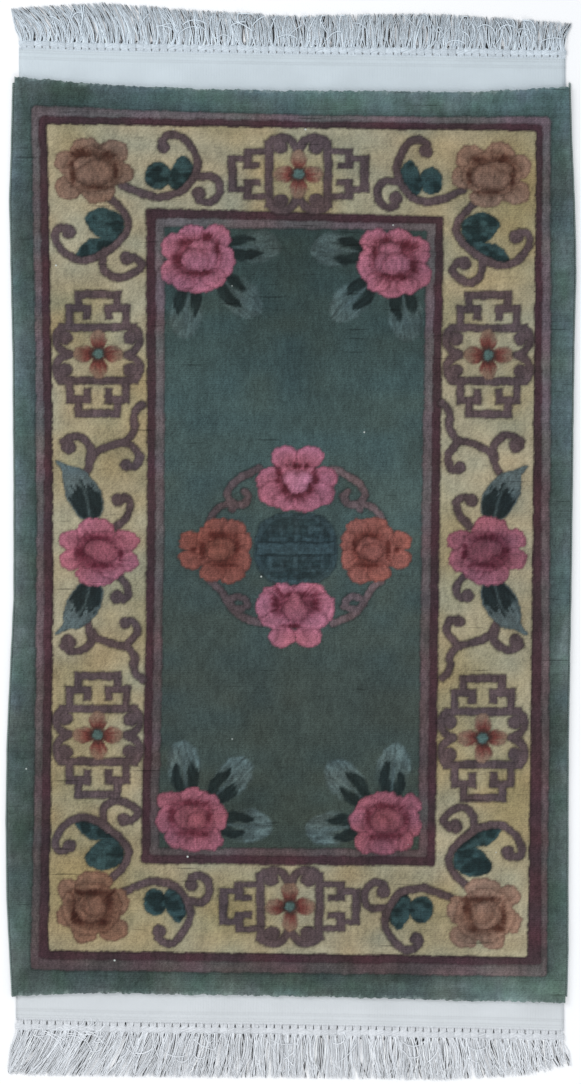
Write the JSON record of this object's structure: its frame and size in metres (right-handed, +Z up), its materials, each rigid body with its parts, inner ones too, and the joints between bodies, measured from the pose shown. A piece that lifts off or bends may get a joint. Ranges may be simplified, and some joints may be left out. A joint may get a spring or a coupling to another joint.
{
  "type": "carved wool pile rug",
  "caption": "Rectangular wool pile rug lying flat, with carved flowers, frets and scrolls, flat-woven ends, overcast sides and knotted fringes.",
  "frame": {"origin": "middle of the rug on the floor", "axes": "+Z up out of the pile, +Y along the length towards the upper fringe, +X to the right seen from above"},
  "size_m": [0.9286, 1.749, 0.0152],
  "materials": {
    "pile_wool": "dense cut wool pile",
    "edge_wool": "overcast wool yarn",
    "fringe_cotton": "soft cotton yarn"
  },
  "bodies": {
    "root": {"rug_cloth": "pile_wool", "edge_cord_left": "edge_wool", "edge_cord_right": "edge_wool", "fringe_upper": "fringe_cotton", "fringe_lower": "fringe_cotton"}
  },
  "joints": []
}
